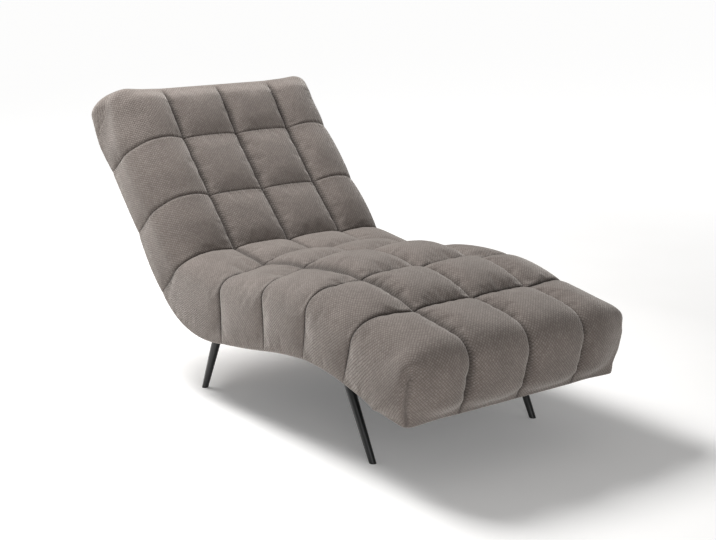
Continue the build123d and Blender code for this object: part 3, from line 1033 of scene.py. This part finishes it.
def foam_slab(name, upper, lower, sunk, node):
    """A slab of foam between two lines, pressed down along its edges by the tight cover."""
    steps = np.linspace(0, 1, foam_steps)[:-1]
    upper_line, lower_line = (
        [*(a + (b - a) * s for a, b in zip(line, line[1:]) for s in steps), line[-1]]
        for line in (upper, lower)
    )
    wide = np.linspace(-inner_half, inner_half, foam_places)
    pressed = sunk + foam_press * smooth_step(*foam_press_span, np.abs(wide))
    points = []
    for high, low in zip(upper_line, lower_line):
        down = unit(low - high)
        points += [(x, *(high + down * drop)) for x, drop in zip(wide[::-1], pressed[::-1])]
        points += [(x, *low) for x in wide]
    count = 2 * foam_places
    faces = []
    for i in range(len(upper_line) - 1):
        for j in range(count):
            k = (j + 1) % count
            here, after = i * count, (i + 1) * count
            faces.append((here + j, after + j, after + k, here + k))
    faces.append(tuple(range(count)))
    last = (len(upper_line) - 1) * count
    faces.append(tuple(last + j for j in range(count - 1, -1, -1)))
    points = np.array(points) * MM
    piece = new_piece(name, points, faces, points[:, :2], foam)
    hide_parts(node)


def strap_set(name, rows_used, node):
    """Straps of webbing across the frame under some rows, each a little slack in the middle."""
    base = layer_line(foam_top + foam_thickness, foam_top)
    points, faces, weave_points = [], [], []
    across = np.linspace(-inner_half, inner_half, strap_places)
    along = np.linspace(-strap_width / 2, strap_width / 2, strap_lines)
    for row in rows_used:
        span = base[row + 1] - base[row]
        down = row_normals[row]
        for i in range(straps_per_row):
            spot = base[row] + span * (i + 0.5) / straps_per_row + down * strap_gap
            first = len(points)
            for s in along:
                for x in across:
                    slack = strap_slack * (1 - (x / inner_half) ** 2)
                    points.append((x, *(spot + unit(span) * s + down * slack)))
                    weave_points.append((x * MM, s * MM))
            strap_faces = grid_faces(strap_lines, strap_places)
            faces += [[first + v for v in face] for face in strap_faces]
    piece = new_piece(name, np.array(points) * MM, faces, weave_points, webbing)
    thicken(piece, "strap", strap_thickness)
    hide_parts(node)


back_foam_sunk, seat_foam_sunk = 3, 14
foam_high = layer_line(foam_top, foam_top)
foam_low = layer_line(foam_top + foam_thickness, foam_top)
back_end = hip_seam + 1
foam_slab(
    "back_foam_slab", foam_high[:back_end], foam_low[:back_end], back_foam_sunk, "back_foam"
)
foam_slab(
    "seat_foam_slab", foam_high[hip_seam:], foam_low[hip_seam:], seat_foam_sunk, "seat_foam"
)
strap_set("back_straps", range(hip_seam), "back_webbing")
strap_set("seat_straps", range(hip_seam, row_count - 1), "seat_webbing")


def finish_nodes(material, *names):
    """Gives CAD nodes their material."""
    for name in names:
        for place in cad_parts[name].material_slots:
            place.material = material


# Powder-coated steel: black satin with a fine orange-peel skin and a slightly uneven gloss.
powder_coat, tree, shader = new_material("powder_coated_steel")
spot = add_node(tree, "ShaderNodeTexCoord").outputs["Object"]
peel = add_node(
    tree, "ShaderNodeTexNoise", {"Vector": spot, "Scale": 1 / (1.2 * MM), "Detail": 2.0}
)
handled = add_node(
    tree, "ShaderNodeTexNoise", {"Vector": spot, "Scale": 1 / (50 * MM), "Detail": 4.0}
)
tone = add_node(
    tree,
    "ShaderNodeMix",
    {SHARE: handled.outputs["Fac"], FIRST: linear("#070708"), SECOND: linear("#121213")},
    data_type="RGBA",
)
gloss = add_node(
    tree,
    "ShaderNodeMapRange",
    {
        "Value": handled.outputs["Fac"],
        "From Min": 0.3,
        "From Max": 0.7,
        "To Min": 0.34,
        "To Max": 0.46,
    },
)
relief = add_node(
    tree, "ShaderNodeBump", {"Height": peel.outputs["Fac"], "Strength": 0.25, "Distance": 0.2 * MM}
)
set_sockets(
    tree,
    shader,
    {
        "Base Color": tone.outputs[MIXED],
        "Roughness": gloss.outputs[0],
        "Normal": relief.outputs["Normal"],
    },
)
for corner in leg_corners:
    finish_nodes(powder_coat, f"leg_{corner}", f"leg_plate_{corner}")

# Moulded nylon of the glides: black, with a fine spark-eroded grain.
nylon, tree, shader = new_material("moulded_nylon")
spot = add_node(tree, "ShaderNodeTexCoord").outputs["Object"]
grain = add_node(
    tree, "ShaderNodeTexNoise", {"Vector": spot, "Scale": 1 / (0.6 * MM), "Detail": 3.0}
)
tone = add_node(
    tree,
    "ShaderNodeMix",
    {SHARE: grain.outputs["Fac"], FIRST: linear("#0E0E0E"), SECOND: linear("#222222")},
    data_type="RGBA",
)
rough = add_node(
    tree, "ShaderNodeMapRange", {"Value": grain.outputs["Fac"], "To Min": 0.45, "To Max": 0.65}
)
relief = add_node(
    tree, "ShaderNodeBump", {"Height": grain.outputs["Fac"], "Strength": 0.3, "Distance": 0.1 * MM}
)
set_sockets(
    tree,
    shader,
    {
        "Base Color": tone.outputs[MIXED],
        "Roughness": rough.outputs[0],
        "Normal": relief.outputs["Normal"],
    },
)
for corner in leg_corners:
    finish_nodes(nylon, f"leg_glide_{corner}")

# Zinc-plated steel of studs and screws: bright blue-grey metal with a cloudy bath finish.
zinc, tree, shader = new_material("zinc_plated_steel")
spot = add_node(tree, "ShaderNodeTexCoord").outputs["Object"]
bath = add_node(tree, "ShaderNodeTexNoise", {"Vector": spot, "Scale": 1 / (4 * MM), "Detail": 5.0})
tone = add_node(
    tree,
    "ShaderNodeMix",
    {SHARE: bath.outputs["Fac"], FIRST: linear("#A9ADB2"), SECOND: linear("#D2D6DA")},
    data_type="RGBA",
)
rough = add_node(
    tree, "ShaderNodeMapRange", {"Value": bath.outputs["Fac"], "To Min": 0.22, "To Max": 0.45}
)
set_sockets(
    tree,
    shader,
    {"Base Color": tone.outputs[MIXED], "Roughness": rough.outputs[0], "Metallic": 1.0},
)
finish_nodes(zinc, "leg_studs", "plate_screws")

# Birch plywood: pale rotary-cut veneer with a soft figure, about 33 mm wide and 250 mm long, and
# darker bands of glue across its thickness, drawn coarsely, about 19 mm apart.
plywood, tree, shader = new_material("birch_plywood")
spot = add_node(tree, "ShaderNodeTexCoord").outputs["Object"]
long_way = add_node(tree, "ShaderNodeMapping", {"Vector": spot, "Scale": (30.0, 4.0, 30.0)})
figure = add_node(
    tree,
    "ShaderNodeTexNoise",
    {"Vector": long_way.outputs[0], "Scale": 1.0, "Detail": 6.0, "Distortion": 0.6},
)
tone = add_node(
    tree,
    "ShaderNodeMix",
    {SHARE: figure.outputs["Fac"], FIRST: linear("#C9A877"), SECOND: linear("#E4CCA0")},
    data_type="RGBA",
)
plies = add_node(
    tree, "ShaderNodeTexWave", {"Vector": spot, "Scale": 1 / (60 * MM)}, bands_direction="X"
)
glue = add_node(
    tree,
    "ShaderNodeMapRange",
    {
        "Value": plies.outputs["Fac"],
        "From Min": 0.0,
        "From Max": 0.35,
        "To Min": 0.72,
        "To Max": 1.0,
    },
)
edged = add_node(
    tree,
    "ShaderNodeVectorMath",
    {0: tone.outputs[MIXED], "Scale": glue.outputs[0]},
    operation="SCALE",
)
relief = add_node(
    tree,
    "ShaderNodeBump",
    {"Height": figure.outputs["Fac"], "Strength": 0.15, "Distance": 0.4 * MM},
)
set_sockets(
    tree,
    shader,
    {"Base Color": edged.outputs[0], "Normal": relief.outputs["Normal"], "Roughness": 0.6},
)
finish_nodes(plywood, "side_panel_left", "side_panel_right", "foot_board")

# Planed pine of rails and blocks: broad early and late wood, about 40 mm a band, along the rail.
pine, tree, shader = new_material("planed_pine")
spot = add_node(tree, "ShaderNodeTexCoord").outputs["Object"]
long_way = add_node(tree, "ShaderNodeMapping", {"Vector": spot, "Scale": (0.6, 8.0, 8.0)})
rings = add_node(
    tree,
    "ShaderNodeTexWave",
    {"Vector": long_way.outputs[0], "Scale": 1.0, "Distortion": 3.0, "Detail": 2.0},
    bands_direction="Z",
)
tone = add_node(
    tree,
    "ShaderNodeMix",
    {SHARE: rings.outputs["Fac"], FIRST: linear("#E3C48C"), SECOND: linear("#C2935A")},
    data_type="RGBA",
)
relief = add_node(
    tree, "ShaderNodeBump", {"Height": rings.outputs["Fac"], "Strength": 0.15, "Distance": 0.3 * MM}
)
set_sockets(
    tree,
    shader,
    {"Base Color": tone.outputs[MIXED], "Normal": relief.outputs["Normal"], "Roughness": 0.62},
)
for place in ("head", "back", "lumbar", "rear_leg", "seat", "front_leg"):
    finish_nodes(pine, f"{place}_rail")
finish_nodes(pine, "corner_blocks")

# Turned beech of the dowels: pinkish tan with short dark flecks, about 2 by 8 mm, along the grain.
beech, tree, shader = new_material("turned_beech")
spot = add_node(tree, "ShaderNodeTexCoord").outputs["Object"]
long_way = add_node(tree, "ShaderNodeMapping", {"Vector": spot, "Scale": (120.0, 600.0, 600.0)})
flecks = add_node(
    tree, "ShaderNodeTexNoise", {"Vector": long_way.outputs[0], "Scale": 1.0, "Detail": 3.0}
)
tone = add_node(
    tree,
    "ShaderNodeMix",
    {SHARE: flecks.outputs["Fac"], FIRST: linear("#A97B55"), SECOND: linear("#D0A67C")},
    data_type="RGBA",
)
set_sockets(tree, shader, {"Base Color": tone.outputs[MIXED], "Roughness": 0.55})
finish_nodes(beech, "rail_dowels")

# Hardboard behind the back: dark brown pressed fibre, smooth on its face.
hardboard, tree, shader = new_material("pressed_hardboard")
spot = add_node(tree, "ShaderNodeTexCoord").outputs["Object"]
fibre = add_node(
    tree,
    "ShaderNodeTexNoise",
    {"Vector": spot, "Scale": 1 / (3 * MM), "Detail": 8.0, "Roughness": 0.7},
)
tone = add_node(
    tree,
    "ShaderNodeMix",
    {SHARE: fibre.outputs["Fac"], FIRST: linear("#5A4130"), SECOND: linear("#8A6A4C")},
    data_type="RGBA",
)
rough = add_node(
    tree, "ShaderNodeMapRange", {"Value": fibre.outputs["Fac"], "To Min": 0.5, "To Max": 0.75}
)
set_sockets(tree, shader, {"Base Color": tone.outputs[MIXED], "Roughness": rough.outputs[0]})
finish_nodes(hardboard, "outer_back_board")

# Floor, light and camera of a plain studio. The floor is matt white paper of slightly uneven tone,
# which glows more from 1.6 to 4.5 m away, so that the backdrop stays white.
bpy.ops.object.select_all(action="DESELECT")
bpy.ops.mesh.primitive_plane_add(size=60)
floor = bpy.context.object
floor.name = "studio_floor"
paper, tree, shader = new_material("white_paper")
spot = add_node(tree, "ShaderNodeTexCoord").outputs["Object"]
grain = add_node(tree, "ShaderNodeTexNoise", {"Vector": spot, "Scale": 4.0, "Detail": 2.0})
tone = add_node(
    tree,
    "ShaderNodeMix",
    {SHARE: grain.outputs["Fac"], FIRST: linear("#F4F3F1"), SECOND: linear("#F8F7F6")},
    data_type="RGBA",
)
away = add_node(tree, "ShaderNodeVectorMath", {0: spot}, operation="LENGTH")
glow = add_node(
    tree,
    "ShaderNodeMapRange",
    {
        "Value": away.outputs["Value"],
        "From Min": 1.6,
        "From Max": 4.5,
        "To Min": 0.12,
        "To Max": 0.75,
    },
)
set_sockets(
    tree,
    shader,
    {
        "Base Color": tone.outputs[MIXED],
        "Roughness": 0.9,
        "Emission Color": linear("#FFFFFF"),
        "Emission Strength": glow.outputs[0],
    },
)
floor.data.materials.append(paper)

world = bpy.data.worlds.new("studio")
bpy.context.scene.world = world
world.use_nodes = True
sky = world.node_tree.nodes["Background"]
set_sockets(world.node_tree, sky, {"Color": linear("#FFFFFF"), "Strength": 0.25})


def soft_light(name, place, target, size, power):
    """A square soft box that looks at a point."""
    data = bpy.data.lights.new(name, "AREA")
    data.size = size
    data.energy = power
    light = bpy.data.objects.new(name, data)
    light.location = place
    light.rotation_euler = (Vector(target) - Vector(place)).to_track_quat("-Z", "Y").to_euler()
    bpy.context.scene.collection.objects.link(light)


soft_light("key", (-0.75, 1.5, 3.0), (0, 0.1, 0.45), size=1.3, power=155)
soft_light("fill", (-1.5, -3.0, 0.9), (0, -0.3, 0.35), size=1.6, power=22)

# Camera fitted to the photograph's seams, corners and feet.
image_width = 716
focal_pixels = 1405.9
view_azimuth = radians(-37.54)
view_elevation = radians(13.61)
camera_data = bpy.data.cameras.new("camera")
camera = bpy.data.objects.new("camera", camera_data)
bpy.context.scene.collection.objects.link(camera)
camera.location = (-2.51387, -3.35281, 1.40504)
look_back = Vector(
    (
        sin(view_azimuth) * cos(view_elevation),
        -cos(view_azimuth) * cos(view_elevation),
        sin(view_elevation),
    )
)
camera.rotation_mode = "QUATERNION"
camera.rotation_quaternion = (-look_back).to_track_quat("-Z", "Y")
camera_data.sensor_width = 36
camera_data.lens = camera_data.sensor_width * focal_pixels / image_width
camera_data.dof.use_dof = False
bpy.context.scene.camera = camera
bpy.context.scene.view_settings.view_transform = "Standard"
